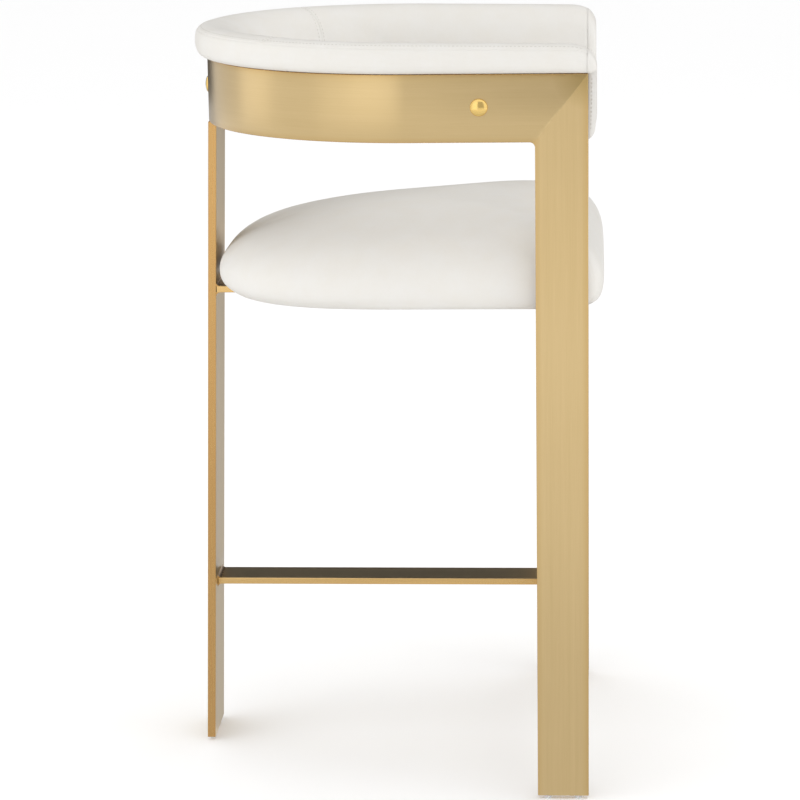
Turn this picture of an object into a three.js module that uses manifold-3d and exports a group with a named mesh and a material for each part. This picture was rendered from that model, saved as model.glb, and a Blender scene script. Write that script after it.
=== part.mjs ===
// Counter stool: a flat-bar frame on three legs, a U-shaped back band and two upholstered parts.
// Millimetres, +Z up, front towards -Y. The origin is on the floor under the middle of the stool.
import * as THREE from 'three';
import { mergeVertices } from 'three/addons/utils/BufferGeometryUtils.js';
import Module from 'manifold-3d';

const wasm = await Module();
wasm.setup();

// Driving dimensions of the frame
const halfWidth = 247.5;
const barThickness = 10;
const bandTop = 858.5;
const bandBottom = 781;
const bandCentreY = -24;
const bendDepth = 252;
const legFrontY = -230;
const legWidth = 60;
const backLegWidth = 90;
const backLegRake = 22.5;
const backLegSetIn = 2.5;
const glideHeight = 4;
const cornerFillet = 6;
const railWidth = 50;
const railThickness = 8;
const footRailTop = 206.5;
const seatRailTop = 580;

// Driving dimensions of the upholstery
const seatFrontY = -248;
const seatBackY = 218;
const seatHalfWidth = 229;
const seatCrown = 682.5;
const crownTilt = 20;
const frontSquareness = 14;
const rearSquareness = 2.8;
const backFrontY = -240;
const backCrest = 894.5;
const rollOverhang = 14;
const panelDepth = 52;
const plyThickness = 10;
const plyOuterOffset = -12;
const plyTop = 880;
const coverThickness = 1.2;
const boardThickness = 12;

// Gaps and fasteners
const gap = 0.3;
const looseGap = 0.5;
const bandBend = 20;
const screwRadius = 3;
const insertRadius = 4.5;
const capScrewHeight = 821;
const capScrewY = -107;
const capRadius = 10;
const capDome = 4.5;
const glideInset = 12;
const glideStemRadius = 2.5;
const glideStemLength = 12;
const seatScrewInset = 100;
const seatScrewHead = 6;
const shellSetback = 14;
const coverSetback = 12;
const barClearance = 2;
const drillOvershoot = 20;
const screwTipGap = 1.5;

const gold = { color: 0xc9a66b, roughness: 0.34, metalness: 1 };
const polishedGold = { color: 0xe0b45a, roughness: 0.12, metalness: 1 };
const leather = { color: 0xefece6, roughness: 0.5, metalness: 0 };
const plywood = { color: 0xc8a878, roughness: 0.75, metalness: 0 };
const liningCloth = { color: 0x1c1c1e, roughness: 0.95, metalness: 0 };
const clearPlastic = { color: 0xe6e6e4, roughness: 0.35, metalness: 0 };
const zincSteel = { color: 0xa9abad, roughness: 0.4, metalness: 1 };

const stool = new THREE.Group();

function place(name, geometry, finish) {
  const mesh = new THREE.Mesh(geometry, new THREE.MeshStandardMaterial(finish));
  mesh.name = name;
  stool.add(mesh);
  return mesh;
}

// ---- joining and cutting ----
function toSolid(geometry) {
  const bare = geometry.clone();
  bare.deleteAttribute('normal');
  bare.deleteAttribute('uv');
  const merged = mergeVertices(bare, 1e-4);
  return new wasm.Manifold(new wasm.Mesh({
    numProp: 3,
    vertProperties: new Float32Array(merged.attributes.position.array),
    triVerts: new Uint32Array(merged.index.array),
  }));
}

function toGeometry(solid) {
  const mesh = solid.getMesh();
  const geometry = new THREE.BufferGeometry();
  geometry.setAttribute('position', new THREE.BufferAttribute(mesh.vertProperties, 3));
  geometry.setIndex(new THREE.BufferAttribute(mesh.triVerts, 1));
  geometry.computeVertexNormals();
  return geometry;
}

function cut(geometry, ...tools) {
  const solid = tools.reduce((rest, tool) => rest.subtract(toSolid(tool)), toSolid(geometry));
  return toGeometry(solid);
}

// ---- basic shapes ----
function box(width, depth, height, x, y, z) {
  return new THREE.BoxGeometry(width, depth, height).translate(x, y, z);
}

// A round piece turned from [radius, height] points, standing along +Z.
function turned(points, segments = 24) {
  const profile = points.map(([radius, height]) => new THREE.Vector2(radius, height));
  return new THREE.LatheGeometry(profile, segments).rotateX(Math.PI / 2);
}

function rod(radius, low, high, segments = 20) {
  return turned([[0, low], [radius, low], [radius, high], [0, high]], segments);
}

// A flat piece drawn as [y, z] points and given its thickness along X.
function sidePlate(points, thickness, middleX) {
  const outline = new THREE.Shape(points.map(([y, z]) => new THREE.Vector2(y, z)));
  const plate = new THREE.ExtrudeGeometry(outline, { depth: thickness, bevelEnabled: false });
  plate.translate(0, 0, -thickness / 2);
  plate.rotateX(Math.PI / 2).rotateZ(Math.PI / 2);
  return plate.translate(middleX, 0, 0);
}

// ---- the U that the band, the ply shell and the back cushion all follow ----
// It runs from the left front straight back, round the half ellipse, and straight to the right front.
class BackLine extends THREE.Curve {
  constructor(frontY) {
    super();
    this.frontY = frontY;
    this.steps = bandBend + 2;
  }

  getPointAt(along, target = new THREE.Vector3()) {
    const step = Math.round(along * this.steps);
    if (step === 0) return target.set(-halfWidth, this.frontY, 0);
    if (step === this.steps) return target.set(halfWidth, this.frontY, 0);
    const angle = Math.PI * (1 - (step - 1) / bandBend);
    return target.set(halfWidth * Math.cos(angle), bandCentreY + bendDepth * Math.sin(angle), 0);
  }

  getTangentAt(along, target = new THREE.Vector3()) {
    const step = Math.round(along * this.steps);
    const turn = Math.min(Math.max(step - 1, 0), bandBend) / bandBend;
    const angle = Math.PI * (1 - turn);
    return target.set(halfWidth * Math.sin(angle), -bendDepth * Math.cos(angle), 0).normalize();
  }
}

// Sweeps a section of [outward, height] points along the U; outward 0 is the band's outer face.
function sweptBack(section, frontY) {
  const line = new BackLine(frontY);
  const outline = new THREE.Shape(section.map(([outward, height]) => new THREE.Vector2(-height, outward)));
  return new THREE.ExtrudeGeometry(outline, { steps: line.steps, extrudePath: line });
}

// The three screws that hold the back: one in each arm and one in the middle of the rear.
function backScrewPlaces() {
  return [
    { side: 'left', x: -halfWidth, y: capScrewY, turn: Math.PI / 2 },
    { side: 'right', x: halfWidth, y: capScrewY, turn: -Math.PI / 2 },
    { side: 'rear', x: 0, y: bandCentreY + bendDepth, turn: 0 },
  ];
}

// Turns a piece standing along +Z so that +Z points outward at one of the screw places.
function facingOut(geometry, spot) {
  return geometry.rotateX(-Math.PI / 2).rotateZ(spot.turn).translate(spot.x, spot.y, capScrewHeight);
}

// Rods for boring through the back at the three screws; low and high are measured from the band's face.
function drill(radius, low, high) {
  return backScrewPlaces().map((spot) => facingOut(rod(radius, low, high), spot));
}

// ---- frame ----
// The inside corner between leg and band, round; the mitre crosses it halfway.
const filletSteps = 3;
const mitreAngle = 0.75 * Math.PI;

function filletPoints(fromAngle, toAngle) {
  const points = [];
  for (let step = 0; step <= filletSteps; step += 1) {
    const angle = THREE.MathUtils.lerp(fromAngle, toAngle, step / filletSteps);
    points.push([
      legFrontY + legWidth + cornerFillet + cornerFillet * Math.cos(angle),
      bandBottom - cornerFillet + cornerFillet * Math.sin(angle),
    ]);
  }
  return points;
}

// The front leg is mitred to the band from the inside corner to the top of the front edge.
// Its mitre is lowered by the joint so that the two bars touch without overlapping.
function frontLegOutline(joint) {
  const mitreStart = bandBottom - cornerFillet + 1;
  return [
    [legFrontY, glideHeight],
    [legFrontY + legWidth, glideHeight],
    ...filletPoints(Math.PI, mitreAngle),
    [legFrontY, bandTop],
  ].map(([y, z]) => [y, z - (z > mitreStart ? joint : 0)]);
}

function glideSpots(middleX, middleY, alongX) {
  const reach = (alongX ? backLegWidth : legWidth) / 2 - glideInset;
  return [-1, 1].map((end) => ({
    x: middleX + (alongX ? end * reach : 0),
    y: middleY + (alongX ? 0 : end * reach),
  }));
}

const legMiddleX = halfWidth - barThickness / 2;
const legMiddleY = legFrontY + legWidth / 2;
const backFaceTop = bandCentreY + bendDepth - backLegSetIn;
const backFootY = backFaceTop + backLegRake - barThickness / 2;
const legs = [
  { name: 'front_leg_left', glide: 'glide_front_left', spots: glideSpots(-legMiddleX, legMiddleY, false) },
  { name: 'front_leg_right', glide: 'glide_front_right', spots: glideSpots(legMiddleX, legMiddleY, false) },
  { name: 'rear_leg', glide: 'glide_rear', spots: glideSpots(0, backFootY, true) },
];

function glideHoles(spots) {
  const top = glideHeight + glideStemLength + gap;
  return spots.map(({ x, y }) => rod(glideStemRadius + gap, 0, top, 12).translate(x, y, 0));
}

function makeLegs() {
  for (const [index, side] of [[0, -1], [1, 1]]) {
    const plain = sidePlate(frontLegOutline(gap), barThickness, side * legMiddleX);
    place(legs[index].name, cut(plain, ...glideHoles(legs[index].spots)), gold);
  }
  const rear = sidePlate([
    [backFaceTop + backLegRake - barThickness, glideHeight],
    [backFaceTop + backLegRake, glideHeight],
    [backFaceTop, bandBottom - gap],
    [backFaceTop - barThickness, bandBottom - gap],
  ], backLegWidth, 0);
  place('rear_leg', cut(rear, ...glideHoles(legs[2].spots)), gold);
}

function makeGlides() {
  for (const { glide, spots } of legs) {
    spots.forEach(({ x, y }, index) => {
      const profile = [
        [0, 0], [3.4, 0], [4, 0.6], [4.7, glideHeight - gap], [glideStemRadius, glideHeight - gap],
        [glideStemRadius, glideHeight + glideStemLength], [0, glideHeight + glideStemLength],
      ];
      place(`${glide}_${index + 1}`, turned(profile, 16).translate(x, y, 0), clearPlastic);
    });
  }
}

function makeBand() {
  const section = [[-barThickness, bandBottom], [0, bandBottom], [0, bandTop], [-barThickness, bandTop]];
  let solid = toSolid(sweptBack(section, legFrontY));
  for (const side of [-1, 1]) {
    const corner = [
      [legFrontY + legWidth, bandBottom + 1],
      ...filletPoints(mitreAngle, 0.5 * Math.PI),
      [legFrontY + legWidth + cornerFillet, bandBottom + 1],
    ];
    const beyondLeg = barThickness + barClearance;
    solid = solid.add(toSolid(sidePlate(corner, barThickness, side * legMiddleX)));
    solid = solid.subtract(toSolid(sidePlate(frontLegOutline(0), beyondLeg, side * legMiddleX)));
  }
  const holes = drill(screwRadius + gap, -drillOvershoot, drillOvershoot);
  place('back_band', cut(toGeometry(solid), ...holes), gold);
}

// Front face of the raked rear leg at a given height.
function rearLegFace(height) {
  const share = (bandBottom - height) / (bandBottom - glideHeight);
  return backFaceTop - barThickness + backLegRake * share;
}

// Each tee is a bar across the front legs and a bar back to the rear leg.
function makeTee(name, top, backWidth, tools) {
  const middle = top - railThickness / 2;
  const span = 2 * (halfWidth - barThickness - gap);
  place(`${name}_cross_bar`, cut(box(span, railWidth, railThickness, 0, legMiddleY, middle), ...tools), gold);
  const front = legMiddleY + railWidth / 2 + gap;
  const back = rearLegFace(top) - gap;
  const bar = box(backWidth, back - front, railThickness, 0, (front + back) / 2, middle);
  place(`${name}_bar`, cut(bar, ...tools), gold);
}

// ---- seat ----
const seatCentreY = (seatFrontY + seatBackY) / 2;
const seatHalfDepth = (seatBackY - seatFrontY) / 2;

// Half of the seat's plan: straight sides, round at the rear, small corners at the front.
function seatReach(angle) {
  const squareness = Math.sin(angle) < 0 ? frontSquareness : rearSquareness;
  const across = Math.abs(Math.cos(angle)) ** squareness;
  const along = Math.abs(Math.sin(angle)) ** squareness;
  return (across + along) ** (-1 / squareness);
}

function seatPoint(angle, share) {
  const reach = seatReach(angle) * share;
  return [reach * seatHalfWidth * Math.cos(angle), seatCentreY + reach * seatHalfDepth * Math.sin(angle)];
}

// A flat layer with the seat's plan, drawn in by the inset.
const seatCorners = 40;

function seatLayer(inset, low, high) {
  const share = 1 - inset / seatHalfWidth;
  const outline = new THREE.Shape();
  for (let step = 0; step < seatCorners; step += 1) {
    const [x, y] = seatPoint((2 * Math.PI * step) / seatCorners, share);
    if (step === 0) outline.moveTo(x, y);
    else outline.lineTo(x, y);
  }
  const layer = new THREE.ExtrudeGeometry(outline, { depth: high - low, bevelEnabled: false });
  return layer.translate(0, 0, low);
}

const dustCoverTop = seatRailTop + gap + coverThickness;
const boardBottom = dustCoverTop + gap;
const boardTop = boardBottom + boardThickness;
const boardInset = 34;

function makeSeat(drills, inserts) {
  const base = seatRailTop + gap;
  const profile = [
    [0, base], [0.87, base], [0.935, base + 3.5], [0.98, base + 9], [1, base + 17], [1, base + 32],
    [0.965, base + 53], [0.91, base + 67], [0.82, base + 78], [0.7, base + 85.5], [0.55, base + 92],
    [0.4, base + 96.5], [0.2, base + 101], [0, seatCrown],
  ];
  const cushion = turned(profile, seatCorners);
  const position = cushion.attributes.position;
  for (let index = 0; index < position.count; index += 1) {
    const angle = Math.atan2(position.getY(index), position.getX(index));
    const share = Math.hypot(position.getX(index), position.getY(index));
    const [x, y] = seatPoint(angle, share);
    const height = position.getZ(index);
    const lift = Math.max(0, (height - boardTop) / (seatCrown - boardTop));
    const tilt = (-crownTilt * lift * (y - seatCentreY)) / seatHalfDepth;
    position.setXYZ(index, x, y, height + tilt);
  }
  const recess = seatLayer(boardInset - gap, base - barClearance, boardTop + gap);
  place('seat_cushion', cut(cushion, recess), leather);
  place('seat_board', cut(seatLayer(boardInset, boardBottom, boardTop), ...inserts), plywood);
  place('seat_dust_cover', cut(seatLayer(boardInset, base, dustCoverTop), ...drills), liningCloth);
}

// ---- back ----
function makeBack() {
  const shellInner = plyOuterOffset - plyThickness;
  const shellBottom = bandBottom + 4;
  const shell = [
    [shellInner, shellBottom], [plyOuterOffset, shellBottom],
    [plyOuterOffset, plyTop], [shellInner, plyTop],
  ];
  const shellHoles = drill(insertRadius + gap, -2 * drillOvershoot, drillOvershoot);
  place('back_shell', cut(sweptBack(shell, backFrontY + shellSetback), ...shellHoles), plywood);

  const coverOuter = -barThickness - gap;
  const coverInner = coverOuter - coverThickness;
  const outerCover = [
    [coverInner, bandBottom + 1], [coverOuter, bandBottom + 1],
    [coverOuter, bandTop], [coverInner, bandTop],
  ];
  const coverHoles = drill(screwRadius + gap, -drillOvershoot, drillOvershoot);
  place('back_outer_cover', cut(sweptBack(outerCover, backFrontY + coverSetback), ...coverHoles), leather);

  const underRoll = bandTop + looseGap;
  const cushion = [
    [shellInner - gap, bandBottom + 2], [shellInner - gap, plyTop + gap],
    [plyOuterOffset + gap, plyTop + gap], [plyOuterOffset + gap, underRoll],
    [0.4 * rollOverhang, underRoll], [0.85 * rollOverhang, underRoll + 5], [rollOverhang, underRoll + 14],
    [0.9 * rollOverhang, backCrest - 9], [0.5 * rollOverhang, backCrest - 4], [-6, backCrest],
    [-20, backCrest - 1.3], [-panelDepth + 18, backCrest - 6], [-panelDepth + 8, backCrest - 14],
    [-panelDepth + 2, backCrest - 26], [-panelDepth, backCrest - 40], [-panelDepth, bandBottom + 15],
    [-panelDepth + 4, bandBottom + 5], [-panelDepth + 12, bandBottom + 2],
  ];
  place('back_cushion', sweptBack(cushion, backFrontY), leather);
}

// ---- fasteners ----
function makeBackFasteners() {
  for (const spot of backScrewPlaces()) {
    const tip = plyOuterOffset - 0.7 * plyThickness;
    const dome = [
      [0, capDome + gap], [0.3 * capRadius, 0.95 * capDome + gap], [0.6 * capRadius, 0.7 * capDome + gap],
      [0.84 * capRadius, 0.4 * capDome + gap], [capRadius, 0.12 * capDome + gap],
      [capRadius, gap], [screwRadius, gap], [screwRadius, tip], [0, tip],
    ].reverse();
    place(`back_cap_screw_${spot.side}`, facingOut(turned(dome), spot), polishedGold);
    const bore = screwRadius + gap;
    const sleeve = [
      [bore, plyOuterOffset - plyThickness + gap], [insertRadius, plyOuterOffset - plyThickness + gap],
      [insertRadius, plyOuterOffset - gap], [bore, plyOuterOffset - gap],
    ];
    const closed = [...sleeve, sleeve[0]];
    place(`back_insert_${spot.side}`, facingOut(turned(closed, 20), spot), zincSteel);
  }
}

// Two screws through the cross bar and two through the bar that runs back.
function seatScrewSpots() {
  return [
    { x: -seatScrewInset, y: legMiddleY },
    { x: seatScrewInset, y: legMiddleY },
    { x: 0, y: seatCentreY - 0.3 * seatHalfDepth },
    { x: 0, y: seatCentreY + 0.6 * seatHalfDepth },
  ];
}

function makeSeatFasteners() {
  const underside = seatRailTop - railThickness;
  const tip = boardTop - screwTipGap;
  seatScrewSpots().forEach(({ x, y }, index) => {
    const screw = [
      [0, underside - 4], [0.6 * seatScrewHead, underside - 3.7], [0.96 * seatScrewHead, underside - 2],
      [seatScrewHead, underside - gap],
      [screwRadius, underside - gap], [screwRadius, tip], [0, tip],
    ];
    place(`seat_screw_${index + 1}`, turned(screw, 20).translate(x, y, 0), zincSteel);
    const bore = screwRadius + gap;
    const sleeve = [
      [bore, boardBottom + gap], [insertRadius, boardBottom + gap],
      [insertRadius, boardTop - gap], [bore, boardTop - gap],
    ];
    place(`seat_insert_${index + 1}`, turned([...sleeve, sleeve[0]], 20).translate(x, y, 0), zincSteel);
  });
}

// ---- assembly ----
function seatDrill(radius) {
  const low = seatRailTop - drillOvershoot;
  const high = boardTop + drillOvershoot;
  return seatScrewSpots().map(({ x, y }) => rod(radius, low, high).translate(x, y, 0));
}

const seatDrills = seatDrill(screwRadius + gap);
const seatInsertHoles = seatDrill(insertRadius + gap);

makeLegs();
makeGlides();
makeBand();
makeTee('footrest', footRailTop, railWidth, []);
makeTee('seat_support', seatRailTop, backLegWidth, seatDrills);
makeSeat(seatDrills, seatInsertHoles);
makeBack();
makeBackFasteners();
makeSeatFasteners();

export default stool;
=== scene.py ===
import math

import bmesh
import bpy
from mathutils import Matrix, Vector, kdtree
from mathutils.bvhtree import BVHTree


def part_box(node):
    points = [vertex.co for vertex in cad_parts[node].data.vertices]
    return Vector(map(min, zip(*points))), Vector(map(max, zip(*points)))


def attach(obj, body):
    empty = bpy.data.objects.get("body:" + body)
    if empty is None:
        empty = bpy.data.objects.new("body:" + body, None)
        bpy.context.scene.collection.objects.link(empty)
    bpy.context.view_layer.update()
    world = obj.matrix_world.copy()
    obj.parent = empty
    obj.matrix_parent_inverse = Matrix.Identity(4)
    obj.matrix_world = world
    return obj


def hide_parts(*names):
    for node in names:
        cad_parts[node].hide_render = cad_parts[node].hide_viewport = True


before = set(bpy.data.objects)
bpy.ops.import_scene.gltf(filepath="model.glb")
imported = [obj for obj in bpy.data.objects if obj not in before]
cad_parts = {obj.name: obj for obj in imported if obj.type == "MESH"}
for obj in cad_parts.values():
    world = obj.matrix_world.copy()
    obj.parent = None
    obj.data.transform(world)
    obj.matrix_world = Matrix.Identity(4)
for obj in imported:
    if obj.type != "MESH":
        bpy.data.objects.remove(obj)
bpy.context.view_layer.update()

scene = bpy.context.scene
mm = 0.001
print("frame loaded:", len(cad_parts), "nodes")

bandLow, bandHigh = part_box("back_band")
legLow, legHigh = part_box("front_leg_left")
seatLow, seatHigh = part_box("seat_cushion")
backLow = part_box("back_cushion")[0]
# The band's bend is a half ellipse: it is spun as a half circle and then stretched towards the rear.
bend = {"radius": bandHigh.x, "depth": 252 * mm, "frontY": legLow.y}
bend["centreY"] = bandHigh.y - bend["depth"]
bend["stretch"] = bend["depth"] / bend["radius"]


# ---- shader building ----
class Wire:
    # a socket that can be used in a sum; each operator adds a Math node and gives its output
    def __init__(self, tree, socket):
        self.tree = tree
        self.socket = socket

    def maths(self, operation, *terms, clamp=False):
        node = self.tree.nodes.new("ShaderNodeMath")
        node.operation = operation
        node.use_clamp = clamp
        for place, term in enumerate(terms):
            if isinstance(term, Wire):
                self.tree.links.new(term.socket, node.inputs[place])
            else:
                node.inputs[place].default_value = term
        return Wire(self.tree, node.outputs[0])

    def __add__(self, other):
        return self.maths("ADD", self, other)

    def __radd__(self, other):
        return self.maths("ADD", other, self)

    def __sub__(self, other):
        return self.maths("SUBTRACT", self, other)

    def __rsub__(self, other):
        return self.maths("SUBTRACT", other, self)

    def __mul__(self, other):
        return self.maths("MULTIPLY", self, other)

    def __rmul__(self, other):
        return self.maths("MULTIPLY", other, self)

    def clamped(self):
        return self.maths("ADD", self, 0.0, clamp=True)

    def above(self, low, high):
        return ((self - low) * (1 / (high - low))).clamped()

    def size(self):
        return self.maths("ABSOLUTE", self)


class Finish:
    # one material and its nodes; the surface is a Principled shader whose constants are set here
    def __init__(self, name, viewColour, **surface):
        self.material = bpy.data.materials.new(name)
        self.material.use_nodes = True
        self.material.diffuse_color = (*viewColour, 1)
        self.tree = self.material.node_tree
        self.shader = self.tree.nodes["Principled BSDF"]
        for socket, value in surface.items():
            self.shader.inputs[socket.replace("_", " ")].default_value = value

    def node(self, kind, settings=None, **sockets):
        made = self.tree.nodes.new(kind)
        for key, value in (settings or {}).items():
            setattr(made, key, value)
        for key, value in sockets.items():
            socket = made.inputs[key.replace("_", " ")]
            if isinstance(value, Wire):
                self.tree.links.new(value.socket, socket)
            else:
                socket.default_value = value
        return made

    def out(self, made, name=0):
        return Wire(self.tree, made.outputs[name])

    def place(self, scale=(1, 1, 1), shift=(0, 0, 0)):
        spot = self.out(self.node("ShaderNodeTexCoord"), "Object")
        return self.out(self.node("ShaderNodeMapping", Location=shift, Scale=scale, Vector=spot))

    def clouds(self, scale, detail=3.0, rough=0.5, stretch=(1, 1, 1)):
        made = self.node("ShaderNodeTexNoise", Vector=self.place(stretch), Scale=scale,
                         Detail=detail, Roughness=rough)
        return self.out(made, "Fac")

    def blend(self, share, first, second):
        made = self.node("ShaderNodeMix", {"data_type": "RGBA"})
        for place, value in ((0, share), (6, first), (7, second)):
            if isinstance(value, Wire):
                self.tree.links.new(value.socket, made.inputs[place])
            else:
                made.inputs[place].default_value = value
        return Wire(self.tree, made.outputs[2])

    def feed(self, socket, wire):
        self.tree.links.new(wire.socket, self.shader.inputs[socket])

    def bump(self, height, strength, distance, below=None):
        made = self.node("ShaderNodeBump", Strength=strength, Distance=distance, Height=height)
        if below is not None:
            self.tree.links.new(below.socket, made.inputs["Normal"])
        return self.out(made)


def colour(red, green, blue):
    return (red, green, blue, 1.0)


def tinted(base, shares):
    # a colour with each part multiplied by its own share
    return colour(*[min(1.0, part * share) for part, share in zip(base, shares)])


def shaded(base, share):
    return tinted(base, (share, share, share))


def brushedMetal(name, base, grain, rough, turn=0.0, rim=None, tip=None):
    # grain is the stretch of the scratches: small along the brushing, large across it
    # turn lays the blur of the reflections across the brushing, and None leaves it round
    # rim is the axis across the bar, its middle and its half width: a painted shade makes the colour darker
    # and warmer towards the edges
    # tip is the y and z of the mitre's welded tip, round which the colour is darker on both arms
    finish = Finish(name, base, Metallic=1.0, Anisotropic=0.0 if turn is None else metal["pull"],
                    Anisotropic_Rotation=turn or 0.0, Coat_Weight=metal["lacquer"],
                    Coat_Roughness=metal["lacquerRough"])
    streak = finish.clouds(1.0, 4.0, 0.65, grain)
    band = finish.clouds(0.16, 2.0, 0.5, grain)
    cloud = finish.clouds(7.0, 2.0)
    tone = (streak * 0.45 + band * 0.3 + cloud * 0.25).above(0.3, 0.7)
    metalTone = finish.blend(tone, tinted(base, metal["darkTone"]), tinted(base, metal["lightTone"]))
    # painted shade: darker, warmer colour towards the bar's edges
    if rim:
        axis, middle, half = rim
        apart = finish.node("ShaderNodeSeparateXYZ", Vector=finish.place())
        fromMiddle = (finish.out(apart, axis) - middle).size()
        edge = fromMiddle.above(half - metal["edgeShadeWidth"], half)
        metalTone = finish.blend(edge * edge * metal["edgeShadeShare"], metalTone, tinted(base, metal["edgeShadeTone"]))
    if tip:
        fromTip = finish.place((0, 1, 1), (0, -tip[0], -tip[1]))
        length = finish.node("ShaderNodeVectorMath", {"operation": "LENGTH"}, Vector=fromTip)
        share = 1 - finish.out(length, "Value").above(*metal["tipReach"])
        metalTone = finish.blend(share, metalTone, tinted(base, metal["tipTone"]))
    finish.feed("Base Color", metalTone)
    finish.feed("Roughness", streak * 0.12 + cloud * 0.06 + (rough - 0.09))
    finish.feed("Normal", finish.bump(streak, 0.2, 0.00006))
    return finish.material


def polishedMetal(name, base, rough):
    finish = Finish(name, base, Metallic=1.0, Coat_Weight=0.2)
    smear = finish.clouds(160.0, 3.0)
    finish.feed("Base Color", finish.blend(smear, colour(*base), shaded(base, 0.95)))
    finish.feed("Roughness", smear * 0.08 + (rough - 0.04))
    finish.feed("Normal", finish.bump(finish.clouds(900.0), 0.02, 0.0001))
    return finish.material


def smoothLeather(name, base):
    finish = Finish(name, base, IOR=1.45, Specular_IOR_Level=0.4)
    pores = finish.node("ShaderNodeTexVoronoi", {"feature": "F1"}, Vector=finish.place(), Scale=780.0)
    grain = finish.out(pores, "Distance").above(0.1, 0.75)
    soft = finish.clouds(34.0, 3.0)
    wrinkle = finish.clouds(210.0, 4.0, 0.6, (1.0, 1.0, 0.7))
    tone = (soft * 0.7 + wrinkle * 0.3).above(0.35, 0.65)
    finish.feed("Base Color", finish.blend(tone, tinted(base, (0.985, 0.975, 0.955)), colour(*base)))
    finish.feed("Roughness", grain * 0.06 + soft * 0.1 + 0.42)
    pore = finish.bump(grain, 0.16, 0.0002)
    crease = finish.bump(wrinkle, 0.10, 0.0006, pore)
    finish.feed("Normal", finish.bump(soft, 0.12, 0.003, crease))
    return finish.material


def sewingThread(name, base):
    finish = Finish(name, base, Roughness=0.7)
    ply = finish.clouds(2600.0, 2.0)
    finish.feed("Base Color", finish.blend(ply, shaded(base, 0.82), colour(*base)))
    finish.feed("Normal", finish.bump(ply, 0.4, 0.0002))
    return finish.material


def clearPlastic(name, base):
    finish = Finish(name, base, IOR=1.49, Transmission_Weight=0.35, Subsurface_Weight=0.2)
    cloud = finish.clouds(400.0, 2.0)
    finish.feed("Base Color", finish.blend(cloud, colour(*base), shaded(base, 0.94)))
    finish.feed("Roughness", cloud * 0.2 + 0.22)
    return finish.material


def bareWood(name, light, dark):
    finish = Finish(name, light)
    rings = finish.clouds(22.0, 5.0, 0.6, (1.0, 8.0, 8.0))
    fibre = finish.clouds(1.0, 3.0, 0.6, (60.0, 900.0, 900.0))
    tone = (rings * 0.75 + fibre * 0.25).above(0.35, 0.7)
    finish.feed("Base Color", finish.blend(tone, colour(*light), colour(*dark)))
    finish.feed("Roughness", fibre * 0.2 + 0.6)
    finish.feed("Normal", finish.bump(fibre, 0.2, 0.0003))
    return finish.material


def liningCloth(name, base):
    finish = Finish(name, base, Sheen_Weight=0.15)
    felt = finish.clouds(700.0, 4.0, 0.7)
    finish.feed("Base Color", finish.blend(felt, colour(*base), shaded(base, 2.2)))
    finish.feed("Roughness", felt * 0.15 + 0.8)
    finish.feed("Normal", finish.bump(felt, 0.5, 0.0004))
    return finish.material


def platedSteel(name, base):
    finish = Finish(name, base, Metallic=1.0)
    cloud = finish.clouds(300.0, 3.0)
    finish.feed("Base Color", finish.blend(cloud, colour(*base), shaded(base, 0.85)))
    finish.feed("Roughness", cloud * 0.2 + 0.25)
    return finish.material


metal = {
    # the front legs' gold, lighter than the plain gold, is painted light
    "gold": (0.70, 0.515, 0.245), "litLegGold": (0.75, 0.55, 0.262), "shadedEdgeGold": (0.62, 0.36, 0.115),
    "litRailEdge": (0.80, 0.52, 0.195), "cap": (0.95, 0.66, 0.22),
    "rough": 0.32, "edgeRough": 0.26, "capRough": 0.16, "pull": 0.6, "lacquer": 0.8, "lacquerRough": 0.3,
    "fine": 1300.0, "ground": 1300.0 / 3, "long": 16.0,
    "darkTone": (0.94, 0.925, 0.89), "lightTone": (1.04, 1.05, 1.08),
    # the edge width, tone and share paint a shade: darker, warmer colour towards a bar's edges
    "edgeShadeWidth": 11 * mm, "edgeShadeTone": (0.90, 0.80, 0.60), "edgeShadeShare": 0.9,
    "tipTone": (0.74, 0.70, 0.54), "tipReach": (10 * mm, 42 * mm),
}
fine, ground, long = metal["fine"], metal["ground"], metal["long"]
upright, around = 0.0, 0.25  # which way the blur of the reflections turns, in whole turns
mitreTip = (bandLow.y, bandHigh.z)
legEdgeShade = ("Y", (legLow.y + legHigh.y) / 2, (legHigh.y - legLow.y) / 2)
bandEdgeShade = ("Z", (bandLow.z + bandHigh.z) / 2, (bandHigh.z - bandLow.z) / 2)
rearEdgeShade = ("X", 0.0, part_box("rear_leg")[1].x)


def goldBar(name, base, grain, turn=None, rim=None, tip=None):
    return brushedMetal("gold " + name, metal[base], grain, metal["rough"], turn, rim, tip)


# the narrow faces' finish: its own roughness, and a colour that paints shade on the bars and light on the
# rails
def groundEdge(name, base, grain):
    return brushedMetal("gold " + name, metal[base], grain, metal["edgeRough"], None)


# the front legs take the lighter copy of the gold: painted light
goldUp = goldBar("brushed up and down", "litLegGold", (fine, fine, long), upright, legEdgeShade, mitreTip)
goldRear = goldBar("brushed rear leg", "gold", (fine, fine, long), upright, rearEdgeShade)
goldRound = goldBar("brushed round the band", "gold", (long, long, fine), around, bandEdgeShade, mitreTip)
goldBack = goldBar("brushed front to back", "gold", (fine, long, fine))
goldAcross = goldBar("brushed side to side", "gold", (long, fine, fine))
# the bars' narrow faces and the welds take a darker, more orange gold: painted shade
shadedGoldEdge = groundEdge("shaded bar edge", "shadedEdgeGold", (ground, ground, long))
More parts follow.
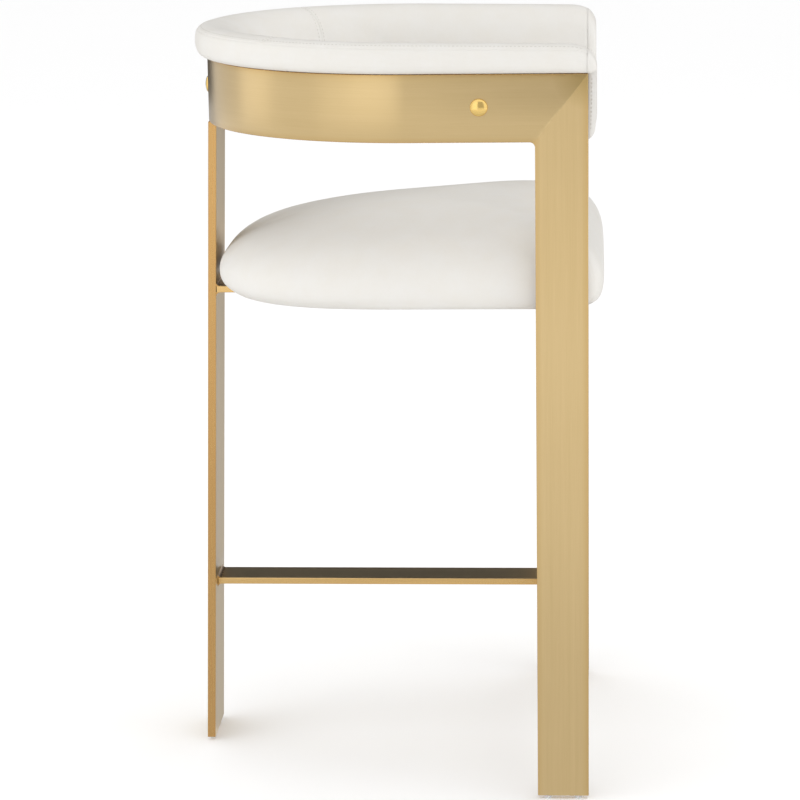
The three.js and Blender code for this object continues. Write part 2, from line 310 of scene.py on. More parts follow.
# the rails' narrow faces take a brighter, more orange gold: painted light
litGoldRailEdge = groundEdge("lit rail edge", "litRailEdge", (long, long, ground))
goldCap = polishedMetal("polished gold cap", metal["cap"], metal["capRough"])
whiteLeather = smoothLeather("white leather", (0.685, 0.67, 0.64))
whiteThread = sewingThread("off-white thread", (0.56, 0.54, 0.49))
glidePlastic = clearPlastic("clear glide plastic", (0.84, 0.84, 0.83))
birchPly = bareWood("birch ply", (0.62, 0.46, 0.28), (0.45, 0.30, 0.16))
blackLining = liningCloth("black lining", (0.014, 0.014, 0.016))
zincSteel = platedSteel("zinc plated steel", (0.60, 0.61, 0.62))
print("finishes made")


# ---- shared mesh work ----
def newPiece(name, bm, finishes, stands=(), smooth=False):
    mesh = bpy.data.meshes.new(name)
    bm.to_mesh(mesh)
    bm.free()
    piece = bpy.data.objects.new(name, mesh)
    scene.collection.objects.link(piece)
    for finish in finishes:
        mesh.materials.append(finish)
    for face in mesh.polygons:
        face.use_smooth = smooth
    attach(piece, "root")
    if stands:
        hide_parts(*stands)
    return piece


def movedVerts(made):
    return [part for part in made["geom"] if isinstance(part, bmesh.types.BMVert)]


def movedEdges(made):
    return [part for part in made["geom"] if isinstance(part, bmesh.types.BMEdge)]


def plate(outline, thickness, middleX):
    # a flat outline of (y, z) points, given its thickness along x
    bm = bmesh.new()
    corners = [bm.verts.new((middleX - thickness / 2, y, z)) for y, z in outline]
    made = bmesh.ops.extrude_face_region(bm, geom=[bm.faces.new(corners)])
    bmesh.ops.translate(bm, vec=(thickness, 0, 0), verts=movedVerts(made))
    bmesh.ops.recalc_face_normals(bm, faces=bm.faces)
    return bm


def rounded(bm, edges, width, segments):
    return bmesh.ops.bevel(bm, geom=edges, offset=width, offset_type="OFFSET", segments=segments,
                           profile=0.5, affect="EDGES", clamp_overlap=True, material=-1)


def easeEdges(bm, keep=None):
    # every sharp edge is eased, except those that keep says to leave alone
    sharp = [edge for edge in bm.edges
             if len(edge.link_faces) == 2 and edge.calc_face_angle(0) > bars["sharp"]
             and not (keep and keep(edge))]
    rounded(bm, sharp, bars["ease"], 2)


# the narrow faces get the second finish, whose colour paints shade on the bars and light on the rails
def paintEdges(bm, isBroad):
    for face in bm.faces:
        face.material_index = 0 if isBroad(face) else 1


def arc(centre, size, fromAngle, toAngle, steps):
    # points on a part of an ellipse, angles in degrees
    points = []
    for step in range(steps + 1):
        angle = math.radians(fromAngle + (toAngle - fromAngle) * step / steps)
        points.append((centre[0] + size[0] * math.cos(angle), centre[1] + size[1] * math.sin(angle)))
    return points


def stretchRear(bm):
    behind = [vert for vert in bm.verts if vert.co.y > bend["centreY"]]
    turnedAbout = Matrix.Translation((0, -bend["centreY"], 0))
    bmesh.ops.scale(bm, vec=(1, bend["stretch"], 1), space=turnedAbout, verts=behind)


# ---- metal frame ----
bars = {
    "ease": 0.8 * mm, "sharp": math.radians(28), "fillet": 6 * mm, "legWidth": 60 * mm, "seam": 0.05 * mm,
    "gap": 0.3 * mm, "merge": 0.02 * mm, "arcSteps": 96, "shadeBreak": math.radians(25),
    "weld": 4.5 * mm, "weldSteps": 5, "weldSink": (0.2 * mm, 0.4 * mm), "weldInset": mm,
}
bars["thick"] = legHigh.x - legLow.x
legMiddle = bend["radius"] - bars["thick"] / 2
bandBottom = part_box("rear_leg")[1].z + bars["gap"]
bandTop = bandHigh.z
broad, slanted = 0.9, 0.3  # how far a normal follows an axis: on a wide face, and on a bevel


def cornerArc(fromAngle, toAngle):
    centre = (bend["frontY"] + bars["legWidth"] + bars["fillet"], bandBottom - bars["fillet"])
    return arc(centre, (bars["fillet"], bars["fillet"]), fromAngle, toAngle, 4)


def onMitre(edge):
    # both ends lie on the sloping line from the inside corner to the top of the front edge
    corner = cornerArc(135, 135)[0]
    slope = (corner[0] - bend["frontY"]) / (bandTop - corner[1])
    return all(abs(vert.co.y - bend["frontY"] - slope * (bandTop - vert.co.z)) < bars["gap"]
               for vert in edge.verts)


def makeFrontLegs():
    for side, name in ((-1, "front_leg_left"), (1, "front_leg_right")):
        outline = [
            (bend["frontY"], legLow.z), (bend["frontY"] + bars["legWidth"], legLow.z),
            *cornerArc(180, 135), (bend["frontY"], bandTop - bars["seam"]),
        ]
        bm = plate(outline, bars["thick"], side * legMiddle)
        easeEdges(bm, onMitre)
        paintEdges(bm, lambda face: abs(face.normal.x) > broad)
        newPiece(name + "_bar", bm, [goldUp, shadedGoldEdge], [name])


def makeRearLeg():
    low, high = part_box("rear_leg")
    outline = [
        (high.y - bars["thick"], low.z), (high.y, low.z),
        (low.y + bars["thick"], high.z), (low.y, high.z),
    ]
    bm = plate(outline, high.x - low.x, 0)
    easeEdges(bm)
    paintEdges(bm, lambda face: abs(face.normal.y) > broad)
    newPiece("rear_leg_bar", bm, [goldRear, shadedGoldEdge], ["rear_leg"])


def makeBand():
    # the left arm as a plate and its mirror image, joined by spinning the left one's open end round
    outline = [
        *cornerArc(135, 90), (bend["centreY"], bandBottom),
        (bend["centreY"], bandTop), (bend["frontY"], bandTop),
    ]
    bm = plate(outline, bars["thick"], -legMiddle)
    backFace = max(bm.faces, key=lambda face: face.calc_center_median().y)
    rim = list(backFace.edges) + list(backFace.verts)
    bmesh.ops.delete(bm, geom=[backFace], context="FACES_ONLY")
    copied = bmesh.ops.duplicate(bm, geom=list(bm.faces) + list(bm.edges) + list(bm.verts))
    bmesh.ops.scale(bm, vec=(-1, 1, 1), verts=movedVerts(copied))
    bmesh.ops.spin(bm, geom=rim, cent=(0, bend["centreY"], 0), axis=(0, 0, 1), angle=-math.pi,
                   steps=bars["arcSteps"], use_merge=False)
    bmesh.ops.remove_doubles(bm, verts=bm.verts, dist=bars["merge"])
    stretchRear(bm)
    bmesh.ops.recalc_face_normals(bm, faces=bm.faces)
    easeEdges(bm, onMitre)
    paintEdges(bm, lambda face: abs(face.normal.z) < slanted)
    piece = newPiece("back_band_bar", bm, [goldRound, shadedGoldEdge], ["back_band"], True)
    piece.data.set_sharp_from_angle(angle=bars["shadeBreak"])


def makeRails():
    for node, finish in (("footrest_bar", goldBack), ("seat_support_bar", goldBack),
                         ("footrest_cross_bar", goldAcross), ("seat_support_cross_bar", goldAcross)):
        low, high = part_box(node)
        bm = bmesh.new()
        bmesh.ops.create_cube(bm, size=1.0)
        bmesh.ops.scale(bm, vec=high - low, verts=bm.verts)
        bmesh.ops.translate(bm, vec=(low + high) / 2, verts=bm.verts)
        easeEdges(bm)
        paintEdges(bm, lambda face: abs(face.normal.z) > broad)
        newPiece(node + "_flat", bm, [finish, litGoldRailEdge], [node])


def makeWelds():
    # small concave fillets above and below each rail where it meets a leg
    leg, sink, inset = bars["weld"], bars["weldSink"], bars["weldInset"]
    bm = bmesh.new()

    def strip(corner, away, up, run):
        # corner of the joint, direction along the rail, up or down, and the vector of the weld's length
        points = []
        for step in range(bars["weldSteps"] + 1):
            angle = math.radians(90 * step / bars["weldSteps"])
            points.append(corner + away * leg * (1 - math.sin(angle)) + up * leg * (1 - math.cos(angle)))
        points.append(corner - away * sink[0] - up * sink[1])
        face = bm.faces.new([bm.verts.new(point) for point in points])
        made = bmesh.ops.extrude_face_region(bm, geom=[face])
        bmesh.ops.translate(bm, vec=run, verts=movedVerts(made))

    for node in ("footrest", "seat_support"):
        low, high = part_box(node + "_bar")
        crossLow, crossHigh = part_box(node + "_cross_bar")
        reach = min(high.x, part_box("rear_leg")[1].x) - bars["ease"]
        for z, up in ((high.z, Vector((0, 0, 1))), (low.z, Vector((0, 0, -1)))):
            start = Vector((-reach, high.y + sink[1], z))
            strip(start, Vector((0, -1, 0)), up, Vector((2 * reach, 0, 0)))
            for side in (-1, 1):
                start = Vector((side * (crossHigh.x + bars["gap"]), crossLow.y + inset, z))
                run = Vector((0, crossHigh.y - crossLow.y - 2 * inset, 0))
                strip(start, Vector((-side, 0, 0)), up, run)
    bmesh.ops.recalc_face_normals(bm, faces=bm.faces)
    newPiece("rail_welds", bm, [shadedGoldEdge])


makeFrontLegs()
makeRearLeg()
makeBand()
makeRails()
makeWelds()
print("frame bars made")


# ---- caps and glides ----
cap = {
    "radius": 10 * mm, "dome": 4.6 * mm, "lip": 1.1 * mm, "ease": 0.5 * mm, "lift": 0.1 * mm,
    "domeSteps": 12, "steps": 48,
}
glide = {
    "foot": 3.5 * mm, "top": 4.75 * mm, "height": 3.8 * mm, "heel": (0.6 * mm, 0.15 * mm),
    "rim": (0.4 * mm, 0.5 * mm, 0.1 * mm), "steps": 32,
}


def turned(profile, steps):
    # (radius, height) points turned about the z axis; they start and end on the axis
    bm = bmesh.new()
    line = [bm.verts.new((radius, 0, height)) for radius, height in profile]
    edges = [bm.edges.new(pair) for pair in zip(line, line[1:])]
    bmesh.ops.spin(bm, geom=line + edges, cent=(0, 0, 0), axis=(0, 0, 1), angle=2 * math.pi,
                   steps=steps, use_merge=True)
    bmesh.ops.remove_doubles(bm, verts=bm.verts, dist=0.01 * mm)
    bmesh.ops.recalc_face_normals(bm, faces=bm.faces)
    return bm


def makeCaps():
    radius, dome, lip, ease, lift = (cap[key] for key in ("radius", "dome", "lip", "ease", "lift"))
    profile = [(0, lift), (radius - ease, lift), (radius, ease)]
    profile += arc((0, lip), (radius, dome - lip), 0, 90, cap["domeSteps"])[:-1] + [(0, dome)]
    for side, way in (("left", (-1, 0, 0)), ("right", (1, 0, 0)), ("rear", (0, 1, 0))):
        low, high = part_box("back_cap_screw_" + side)
        spot = (low + high) / 2
        if way[0]:
            spot.x = way[0] * bend["radius"]
        else:
            spot.y = bend["centreY"] + bend["depth"]
        bm = turned(profile, cap["steps"])
        turn = Vector((0, 0, 1)).rotation_difference(Vector(way)).to_matrix().to_4x4()
        bmesh.ops.transform(bm, matrix=Matrix.Translation(spot) @ turn, verts=bm.verts)
        newPiece("cap_" + side, bm, [goldCap], ["back_cap_screw_" + side], True)


def makeGlides():
    foot, top, height, (heel, sole), (rim, rimFoot, rimTop) = (
        glide[key] for key in ("foot", "top", "height", "heel", "rim"))
    profile = [
        (0, 0), (foot - heel, 0), (foot - sole, sole), (foot, heel), (top - rim, height - rimFoot),
        (top, height - rimTop), (top, height), (0, height),
    ]
    for leg in ("front_left", "front_right", "rear"):
        for number in (1, 2):
            node = f"glide_{leg}_{number}"
            low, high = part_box(node)
            bm = turned(profile, glide["steps"])
            bmesh.ops.translate(bm, vec=((low.x + high.x) / 2, (low.y + high.y) / 2, 0), verts=bm.verts)
            newPiece("foot_" + node, bm, [glidePlastic], [node], True)


makeCaps()
makeGlides()
print("caps and glides made")


# ---- soft parts: cloth, grooves and stitches ----
swelling = {"quality": 6, "mass": 0.3, "frames": 20}


def puffUp(piece, held, pressure, most):
    # a short cloth run under inner pressure; held vertices stay, and no vertex moves more than most
    mesh = piece.data
    before = [vert.co.copy() for vert in mesh.vertices]
    group = piece.vertex_groups.new(name="held")
    group.add(held, 1.0, "REPLACE")
    cloth = piece.modifiers.new("cover", "CLOTH")
    cloth.settings.vertex_group_mass = "held"
    cloth.settings.use_pressure = True
    cloth.settings.uniform_pressure_force = pressure
    cloth.settings.effector_weights.gravity = 0.0
    cloth.settings.quality = swelling["quality"]
    cloth.settings.mass = swelling["mass"]
    for frameNumber in range(1, swelling["frames"] + 1):
        scene.frame_set(frameNumber)
    shaped = piece.evaluated_get(bpy.context.evaluated_depsgraph_get()).to_mesh()
    after = [vert.co.copy() for vert in shaped.vertices]
    for vert, start, end in zip(mesh.vertices, before, after):
        step = end - start
        if step.length > 0:
            vert.co = start + step * (most * math.tanh(step.length / most) / step.length)
    piece.modifiers.remove(cloth)
    piece.vertex_groups.remove(group)
    scene.frame_set(1)


def sinkSeams(piece, seams, width, depth):
    # each seam is a set of vertex numbers; its edges become narrow grooves whose middles lie lower
    bm = bmesh.new()
    bm.from_mesh(piece.data)
    bm.normal_update()
    edges = [edge for edge in bm.edges
             if any(all(vert.index in line for vert in edge.verts) for line in seams)]
    spots = {vert.co.copy().freeze(): vert.normal.copy() for edge in edges for vert in edge.verts}
    made = rounded(bm, edges, width, 2)
    finder = kdtree.KDTree(len(spots))
    for number, spot in enumerate(spots):
        finder.insert(spot, number)
    finder.balance()
    normals = list(spots.values())
    for vert in made["verts"]:
        spot, number, away = finder.find(vert.co)
        if away < 0.4 * width:  # only the groove's own middle line
            vert.co = spot - normals[number] * depth
    bm.to_mesh(piece.data)
    bm.free()
    for face in piece.data.polygons:
        face.use_smooth = True


def subdivideOnce(piece):
    smooth = piece.modifiers.new("smooth", "SUBSURF")
    smooth.levels = smooth.render_levels = 1


def surfaceOf(*pieces):
    # a search tree over the finished surface of some pieces
    graph = bpy.context.evaluated_depsgraph_get()
    bm = bmesh.new()
    for piece in pieces:
        bm.from_mesh(piece.evaluated_get(graph).to_mesh())
    tree = BVHTree.FromBMesh(bm)
    bm.free()
    return tree


thread = {"length": 3.3 * mm, "gap": 1.3 * mm, "thick": 0.42 * mm, "sink": 0.05 * mm, "pathSteps": 260}


def sewRow(bm, surface, path):
    # stitches laid end to end where a path of points meets the surface
    spots = [surface.find_nearest(point)[:2] for point in path]
    pitch = thread["length"] + thread["gap"]
    along, target = 0.0, pitch / 2
    for (start, normal), (end, nextNormal) in zip(spots, spots[1:]):
        run = end - start
        size = run.length
        while size > 0 and target <= along + size:
            spot = start + run * ((target - along) / size)
            up = (normal + nextNormal).normalized()
            way = run.normalized()
            side = up.cross(way).normalized()
            made = bmesh.ops.create_icosphere(bm, subdivisions=1, radius=1.0)
            turn = Matrix((way, side, side.cross(way) * -1)).transposed().to_4x4()
            shape = Matrix.Diagonal((thread["length"] / 2, thread["thick"], thread["thick"], 1))
            spot = spot - up * thread["sink"]
            bmesh.ops.transform(bm, matrix=Matrix.Translation(spot) @ turn @ shape, verts=made["verts"])
            target += pitch
        along += size


# ---- seat cushion ----
seat = {
    "segments": 144, "frontSquareness": 14.0, "backSquareness": 2.8, "crown": 681.5 * mm, "tilt": 20 * mm,
    "swell": 1.8 * mm, "pressure": 4.0, "fill": 0.85,
    "seamWidth": 1.0 * mm, "seamDepth": 1.5 * mm, "cornerSeam": (3 * mm, 61 * mm), "heldFoot": 5 * mm,
}
seatMiddleY = (seatLow.y + seatHigh.y) / 2
seatHalf = (seatHigh.x, (seatHigh.y - seatLow.y) / 2)


def seatReach(angle):
    power = seat["frontSquareness"] if math.sin(angle) < 0 else seat["backSquareness"]
    return (abs(math.cos(angle)) ** power + abs(math.sin(angle)) ** power) ** (-1 / power)


def makeSeat():
    base = seatLow.z
    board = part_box("seat_board")[1].z
    # share of the half width, and rise in mm, from the flat underside up over the side to the crown
    profile = [
        (0.5, 0), (0.7, 0), (0.82, 0), (0.865, 0.2), (0.9, 1.2), (0.93, 3), (0.956, 5.6), (0.976, 9),
        (0.99, 13.4), (0.998, 19), (1.0, 25.5), (1.0, 32), (0.995, 39), (0.984, 46), (0.967, 53),
        (0.945, 59.4), (0.916, 65.4), (0.878, 71.2), (0.83, 76.4), (0.77, 81), (0.7, 85), (0.62, 88.8),
        (0.53, 92.2), (0.44, 95), (0.35, 97.4), (0.26, 99.2), (0.17, 100.4), (0.08, 101.1),
    ]
    profile = [(share, base + rise * mm) for share, rise in profile]
    bm = bmesh.new()
    bmesh.ops.create_circle(bm, segments=seat["segments"], radius=profile[0][0])
    bottomRim = list(bm.edges)
    rim = bottomRim
    bmesh.ops.translate(bm, vec=(0, 0, profile[0][1]), verts=bm.verts)
    for (share, height), (nextShare, nextHeight) in zip(profile, profile[1:]):
        made = bmesh.ops.extrude_edge_only(bm, edges=rim)
        fresh = movedVerts(made)
        grow = nextShare / share
        bmesh.ops.scale(bm, vec=(grow, grow, 1), verts=fresh)
        bmesh.ops.translate(bm, vec=(0, 0, nextHeight - height), verts=fresh)
        rim = movedEdges(made)
    for loop in (bottomRim, rim):
        bmesh.ops.contextual_create(bm, geom=loop)
    bmesh.ops.recalc_face_normals(bm, faces=bm.faces)
    crownFace = max(bm.faces, key=lambda face: face.calc_center_median().z)
    bmesh.ops.poke(bm, faces=[crownFace])
    bm.verts.index_update()
    seamFoot, seamTop = seat["cornerSeam"]
    cornerSeams = [set(), set()]  # one at each front corner
    for vert in bm.verts:
        angle = math.atan2(vert.co.y, vert.co.x)
        rise = vert.co.z - base
        for line, corner in zip(cornerSeams, (-0.75 * math.pi, -0.25 * math.pi)):
            if math.isclose(angle, corner, abs_tol=0.001) and seamFoot < rise < seamTop:
                line.add(vert.index)
        share = math.hypot(vert.co.x, vert.co.y) * seatReach(angle)
        x = share * seatHalf[0] * math.cos(angle)
        along = share * math.sin(angle)
        lift = max(0.0, (vert.co.z - board) / (seat["crown"] - board))
        drop = seat["tilt"] * lift * along
        vert.co = Vector((x, seatMiddleY + along * seatHalf[1], vert.co.z - drop))
    piece = newPiece("seat_pad", bm, [whiteLeather], ["seat_cushion"], True)
    held = [vert.index for vert in piece.data.vertices if vert.co.z < base + seat["heldFoot"]]
    seamVerts = [index for line in cornerSeams for index in line]
    puffUp(piece, held + seamVerts, seat["pressure"], seat["swell"])
    sinkSeams(piece, cornerSeams, seat["seamWidth"], seat["seamDepth"])
    subdivideOnce(piece)


makeSeat()
print("seat made")

# ---- back cushion ----
back = {
    "crest": 892.5 * mm, "clear": 0.5 * mm, "straightSteps": 26, "arcSteps": 96,
    "swell": 2.2 * mm, "pressure": 3.0, "fill": 0.8,
    "seamWidth": 0.8 * mm, "seamDepth": 1.7 * mm, "seamAngle": 40.0, "stitchAside": 3.6 * mm,
    "welt": (11.3 * mm, 887.4 * mm), "topStitch": (5.0 * mm, 890.3 * mm), "stitchStart": 4 * mm,
    "endY": -229 * mm, "endGap": 0.1 * mm, "endEase": 9 * mm, "endSteps": 7,
    "endStitchY": -234.5 * mm, "endStitch": (793 * mm, 851 * mm), "endStitchIn": 10 * mm,
    "dropLength": 28 * mm, "dropHeight": 21 * mm,
    "frontLift": -2.3 * mm, "rearLift": 4.5 * mm, "liftPower": 0.8,
    "footEase": (812 * mm, 5 * mm, 12 * mm), "foot": 784.5 * mm,
    "shellFace": 23 * mm, "shellTop": 881 * mm, "rollFoot": 862 * mm, "weltClear": 5 * mm, "near": 0.1 * mm,
}
stepAngle = 180 / back["arcSteps"]
seamStation = round(back["seamAngle"] / stepAngle) * stepAngle
backFront = backLow.y
# The section of the padded back in mm: outward from the band's face, and height
roll = [
    # from under the roll out and up to the welt seam
    (3.5, 859.1), (8.0, 860.5), (11.5, 863.6), (13.4, 868.0), (14.1, 873.0), (14.1, 878.2), (13.3, 883.3),
]
over = [
    # from the welt seam over the crest and down the inner face
    (8.2, 889.1), (4.4, 890.4), (0.0, 891.5), (-5.0, 892.3), (-11.0, 892.4), (-17.5, 891.6), (-24.0, 889.6),
    (-30.5, 886.4), (-36.5, 882.0), (-41.6, 876.4), (-45.8, 869.6), (-48.8, 862.0), (-50.8, 853.5),
    (-51.8, 845.0), (-52.0, 836.0), (-52.0, 827.0), (-52.0, 818.0), (-52.0, 809.0), (-51.8, 800.5),
    (-50.6, 793.0), (-47.6, 787.6), (-42.8, 784.2), (-36.5, 783.0), (-29.5, 783.0),
]
slotLine = [
    # where the pad lies on its ply shell and on the outer cover
    (-22.3, 783.0), (-22.3, 800.0), (-22.3, 830.0), (-22.3, 860.0), (-22.3, 880.4), (-11.7, 880.4),
    (-11.7, 870.0), (-11.7, 859.0), (-4.0, 859.0),
]
endLine = [
    # where the arm end closes over the shell
    (-22.3, 783.0), (-10.8, 783.0), (-10.8, 859.0),
]


def sectionLine(*lines):
    return [(outward * mm, height * mm) for line in lines for outward, height in line]


def shapeTop(bm):
    # the crest rises from the arms to the rear, and falls away in a round corner at each front end
    reach, most = back["dropLength"], back["dropHeight"]
    floorZ = bandTop + back["clear"]
    footTop, footIn, footReach = back["footEase"]
    for vert in bm.verts:
        away = max(0.0, reach - (vert.co.y - backFront)) / reach
        share = min(1.0, max(0.0, (vert.co.z - floorZ) / (back["crest"] - floorZ)))
        along = max(0.0, vert.co.y - backFront) / (-2 * backFront)
        lift = back["frontLift"] + (back["rearLift"] - back["frontLift"]) * along ** back["liftPower"]
        foot = max(0.0, footTop - vert.co.z) / (footTop - backLow.z)
        vert.co.z += (lift - most * (1 - math.sqrt(max(0.0, 1 - away * away)))) * share
        vert.co.y += footIn * foot * foot * max(0.0, 1 - (vert.co.y - backFront) / footReach)


def radiusOf(point):
    # distance from the middle line, as if the bend were still a half circle
    if point.y > bend["centreY"]:
        return math.hypot(point.x, (point.y - bend["centreY"]) / bend["stretch"])
    return abs(point.x)


def angleOf(point):
    return math.degrees(math.atan2((point.y - bend["centreY"]) / bend["stretch"], abs(point.x)))


def onBend(side, radius, angle, height):
    # a point of the stretched bend; the angle is in radians, from the arm towards the rear
    y = bend["centreY"] + bend["stretch"] * radius * math.sin(angle)
    return Vector((side * radius * math.cos(angle), y, height))


def makeBack():
    welt = back["welt"]
    section = sectionLine(roll) + [welt] + sectionLine(over, slotLine)
    bm = bmesh.new()
    crease = bm.edges.layers.float.new("crease_edge")
    ring = [bm.verts.new((-bend["radius"] - out, back["endY"], z)) for out, z in section]
    edges = [bm.edges.new((ring[i], ring[(i + 1) % len(ring)])) for i in range(len(ring))]
    start = list(edges)
    step = (bend["centreY"] - back["endY"]) / back["straightSteps"]
    for _ in range(back["straightSteps"]):
        made = bmesh.ops.extrude_edge_only(bm, edges=edges)
        bmesh.ops.translate(bm, vec=(0, step, 0), verts=movedVerts(made))
        edges = movedEdges(made)
    verts = list(dict.fromkeys(vert for edge in edges for vert in edge.verts))
    made = bmesh.ops.spin(bm, geom=verts + edges, cent=(0, bend["centreY"], 0), axis=(0, 0, 1),
                          angle=-math.pi, steps=back["arcSteps"], use_merge=False)
    edges = [part for part in made["geom_last"] if isinstance(part, bmesh.types.BMEdge)]
    for _ in range(back["straightSteps"]):
        made = bmesh.ops.extrude_edge_only(bm, edges=edges)
        bmesh.ops.translate(bm, vec=(0, -step, 0), verts=movedVerts(made))
        edges = movedEdges(made)
    for loop in (start, edges):
        bmesh.ops.contextual_create(bm, geom=loop)
    for edge in start + edges:
        edge[crease] = 1.0
    stretchRear(bm)
    shapeTop(bm)
    bmesh.ops.recalc_face_normals(bm, faces=bm.faces)
    piece = newPiece("back_pad", bm, [whiteLeather], ["back_cushion"], True)

    weltLine, uprightSeam, held = set(), set(), set()
    inner = bend["radius"] - back["shellFace"]
    for vert in piece.data.vertices:
        spot, radius = vert.co, radiusOf(vert.co)
        onTop = spot.z > back["rollFoot"] + back["weltClear"]
        if math.isclose(radius, bend["radius"] + welt[0], abs_tol=back["near"]) and onTop:
            weltLine.add(vert.index)
        atSeam = spot.y > bend["centreY"] and abs(angleOf(spot) - seamStation) < stepAngle / 9
        if atSeam and (radius < inner or spot.z > welt[1] - mm):
            uprightSeam.add(vert.index)
        inSlot = inner < radius < bend["radius"] and spot.z < back["shellTop"]
        atEdge = spot.z < back["foot"] or spot.y < back["endY"] + mm
        underRoll = radius > bend["radius"] - mm and spot.z < back["rollFoot"]
        if inSlot or atEdge or underRoll:
            held.add(vert.index)
    puffUp(piece, list(weltLine | uprightSeam | held), back["pressure"], back["swell"])
    sinkSeams(piece, (weltLine, uprightSeam), back["seamWidth"], back["seamDepth"])
    subdivideOnce(piece)
    return piece


def makeArmEnds():
    # the sewn front panel of each arm, rounded towards the sitter and the front
    ends = []
    welt = back["welt"]
    outline = sectionLine(roll) + [welt] + sectionLine(over, endLine)
    startY = back["endY"] - back["endGap"]
    for side, name in ((-1, "left"), (1, "right")):
        bm = bmesh.new()
        corners = [bm.verts.new((side * (bend["radius"] + out), startY, z)) for out, z in outline]
        made = bmesh.ops.extrude_face_region(bm, geom=[bm.faces.new(corners)])
        fresh = movedVerts(made)
        bmesh.ops.translate(bm, vec=(0, backFront - startY, 0), verts=fresh)
        bmesh.ops.recalc_face_normals(bm, faces=bm.faces)
        rim = [edge for edge in bm.edges if all(vert in fresh for vert in edge.verts)]
        rounded(bm, rim, back["endEase"], back["endSteps"])
        shapeTop(bm)
        bmesh.ops.triangulate(bm, faces=[face for face in bm.faces if len(face.verts) > 4])
        bmesh.ops.recalc_face_normals(bm, faces=bm.faces)
        piece = newPiece("arm_end_" + name, bm, [whiteLeather], (), True)
        ends.append(piece)
    return ends


def armPath(outward, height, side, fromY):
    # a line along one arm and round its half of the bend, at one place of the section
    radius = bend["radius"] + outward
    line = []
    straight = bend["centreY"] - fromY
    total = straight + radius * math.pi / 2
    for step in range(thread["pathSteps"] + 1):
        run = total * step / thread["pathSteps"]
        if run <= straight:
            line.append(Vector((side * radius, fromY + run, height)))
        else:
            line.append(onBend(side, radius, (run - straight) / radius, height))
    return line


def uprightPath(side, aside):
    # a line over the crest and down the inner face, a little to one side of the upright seam
    line = []
    for outward, height in sectionLine(over[1:-3]):
        radius = bend["radius"] + outward
        line.append(onBend(side, radius, math.radians(seamStation) + aside / radius, height))
    return line


def endPath(side):
    low, high = back["endStitch"]
    x = side * (bend["radius"] - back["endStitchIn"])
    steps = 20
    return [Vector((x, back["endStitchY"], low + (high - low) * step / steps)) for step in range(steps + 1)]


def makeBackStitches(piece, armEnds):
    surface = surfaceOf(piece)
    endSurface = surfaceOf(*armEnds)
    bm = bmesh.new()
    for side in (-1, 1):
        sewRow(bm, surface, armPath(*back["topStitch"], side, back["endY"] + back["stitchStart"]))
        for aside in (-back["stitchAside"], back["stitchAside"]):
            sewRow(bm, surface, uprightPath(side, aside))
        sewRow(bm, endSurface, endPath(side))
    newPiece("back_stitches", bm, [whiteThread], (), True)


backPad = makeBack()
makeBackStitches(backPad, makeArmEnds())
print("back made")

# ---- finishes of the CAD nodes that stay ----
kept = {
    "back_outer_cover": whiteLeather, "back_shell": birchPly, "seat_board": birchPly,
    "seat_dust_cover": blackLining,
    **{f"back_insert_{side}": zincSteel for side in ("left", "right", "rear")},
    **{f"seat_screw_{number}": zincSteel for number in (1, 2, 3, 4)},
    **{f"seat_insert_{number}": zincSteel for number in (1, 2, 3, 4)},
}
for node, finish in kept.items():
    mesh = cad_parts[node].data
    mesh.materials.clear()
    mesh.materials.append(finish)

# ---- room, light and camera ----
room = {"floor": 14.0, "floorTone": (0.95, 0.95, 0.95), "sky": 1.04, "cardSteps": 24}
cards = {
    # from and to, in degrees from the left side round to the rear, then distance, lowest and highest
    # point, and brightness
    "card_left_low": (-28, 4.5, 3.2, 0.0, 0.4, 0.9),
    "card_left": (-28, 4.5, 3.2, 0.4, 2.6, 0.52),
    "card_left_rear": (6, 32, 3.2, 0.0, 2.6, 1.2),
    "card_rear_dim": (48, 80, 3.2, 0.0, 2.6, 0.86),
    "card_rear": (80, 103, 3.2, 0.0, 2.6, 1.15),
    "card_rear_far": (104, 139, 3.2, 0.0, 2.6, 0.72),
    "card_far_low": (139, 230, 2.3, 0.0, 0.5, 0.5),
    "card_far": (139, 230, 2.3, 0.5, 3.2, 0.05),
}
floorReflections = {
    # floor patches that show only in the metal's reflections, darker near the stool: a painted reflection
    # with painted shade; from and to in degrees, inner and outer radius, brightness
    "floor_reflection_left": (-90, 90, 0.02, 1.1, 0.71),
    "floor_reflection_left_out": (-90, 90, 1.1, 2.0, 0.82),
    "floor_reflection_left_far": (-90, 90, 2.0, 3.15, 0.93),
    "floor_reflection_far": (90, 270, 0.02, 2.3, 0.55),
}
lamps = {
    # place, aim, size and power; none of them shows in the metal
    "key": ((-4.2, 0.3, 1.5), (0, 0, 0.6), (4.0, 2.4), 14),
    "top": ((0.6, 0.2, 4.0), (0.6, 0.2, 0.0), (5.0, 5.0), 20),
    "rear_fill": ((-1.8, 3.6, 1.1), (0, 0, 0.7), (3.0, 1.5), 28),
    "front_fill": ((-0.8, -3.8, 1.2), (0, 0, 0.7), (3.0, 1.8), 28),
}
camera = {
    "place": (-3.6408, -0.2319, 1.2473), "turn": 0.0643, "tip": 0.2209, "roll": -0.0147,
    "lens": 136.2, "sensor": 36.0, "far": 100.0,
}


def stagePiece(name, bm, finish):
    mesh = bpy.data.meshes.new(name)
    bm.to_mesh(mesh)
    bm.free()
    piece = bpy.data.objects.new(name, mesh)
    scene.collection.objects.link(piece)
    mesh.materials.append(finish.material)
    return piece


def makeFloor():
    bm = bmesh.new()
    bmesh.ops.create_grid(bm, x_segments=1, y_segments=1, size=room["floor"])
    tone = room["floorTone"]
    finish = Finish("pale floor", tone, Roughness=0.9, Specular_IOR_Level=0.2)
    cloud = finish.clouds(0.8, 2.0)
    finish.feed("Base Color", finish.blend(cloud, colour(*tone), shaded(tone, 0.99)))
    stagePiece("floor", bm, finish)


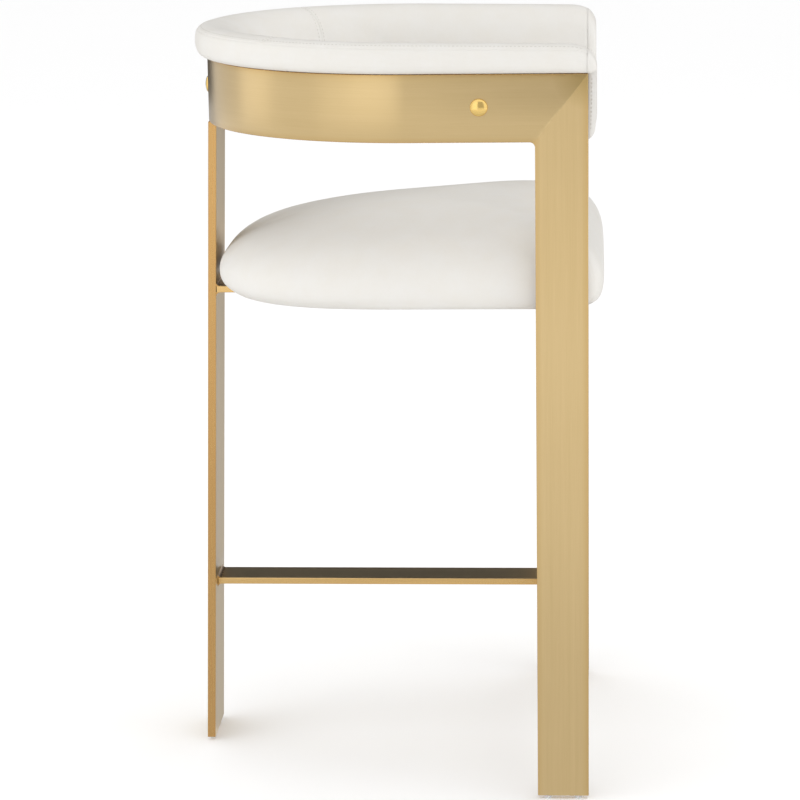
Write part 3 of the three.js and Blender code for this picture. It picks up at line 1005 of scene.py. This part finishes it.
def makeCard(name, fromAngle, toAngle, ends, bright):
    # a curved panel that shows only in the metal's reflections
    bm = bmesh.new()
    turn = Matrix.Rotation(math.radians(-fromAngle), 4, "Z")
    pair = [bm.verts.new(turn @ Vector((-away, 0, z))) for away, z in ends]
    bmesh.ops.spin(bm, geom=pair + [bm.edges.new(pair)], cent=(0, 0, 0), axis=(0, 0, 1),
                   angle=math.radians(fromAngle - toAngle), steps=room["cardSteps"], use_merge=False)
    finish = Finish(name + " panel", (0, 0, 0), Base_Color=colour(0, 0, 0), Specular_IOR_Level=0.0,
                    Emission_Color=colour(1, 1, 1), Emission_Strength=bright)
    piece = stagePiece(name, bm, finish)
    piece.visible_camera = False
    piece.visible_diffuse = False
    piece.visible_shadow = False


def makeCards():
    for name, (fromAngle, toAngle, away, low, high, bright) in cards.items():
        makeCard(name, fromAngle, toAngle, ((away, low), (away, high)), bright)
    for name, (fromAngle, toAngle, inner, outer, bright) in floorReflections.items():
        makeCard(name, fromAngle, toAngle, ((inner, mm), (outer, mm)), bright)


def softbox(name, place, aim, size, power):
    data = bpy.data.lights.new(name, "AREA")
    data.shape = "RECTANGLE"
    data.size, data.size_y = size
    data.energy = power
    lamp = bpy.data.objects.new(name, data)
    lamp.location = place
    lamp.rotation_euler = (Vector(aim) - Vector(place)).to_track_quat("-Z", "Y").to_euler()
    lamp.visible_glossy = False
    scene.collection.objects.link(lamp)


def makeLight():
    world = bpy.data.worlds.new("studio")
    world.use_nodes = True
    world.node_tree.nodes["Background"].inputs["Color"].default_value = (1, 1, 1, 1)
    world.node_tree.nodes["Background"].inputs["Strength"].default_value = room["sky"]
    scene.world = world
    for name, settings in lamps.items():
        softbox(name, *settings)


def makeCamera():
    turn, tip, roll = camera["turn"], camera["tip"], camera["roll"]
    ahead = Vector((math.cos(tip) * math.cos(turn), math.cos(tip) * math.sin(turn), -math.sin(tip)))
    right = ahead.cross(Vector((0, 0, 1))).normalized()
    upward = right.cross(ahead)
    rolledRight = right * math.cos(roll) + upward * math.sin(roll)
    rolledUp = upward * math.cos(roll) - right * math.sin(roll)
    data = bpy.data.cameras.new("camera")
    data.sensor_width = camera["sensor"]
    data.lens = camera["lens"]
    data.clip_end = camera["far"]
    eye = bpy.data.objects.new("camera", data)
    turnMatrix = Matrix((rolledRight, rolledUp, -ahead)).transposed().to_4x4()
    eye.matrix_world = Matrix.Translation(Vector(camera["place"])) @ turnMatrix
    scene.collection.objects.link(eye)
    scene.camera = eye


makeFloor()
makeCards()
makeLight()
makeCamera()
scene.view_settings.view_transform = "Standard"
print("room, light and camera made")
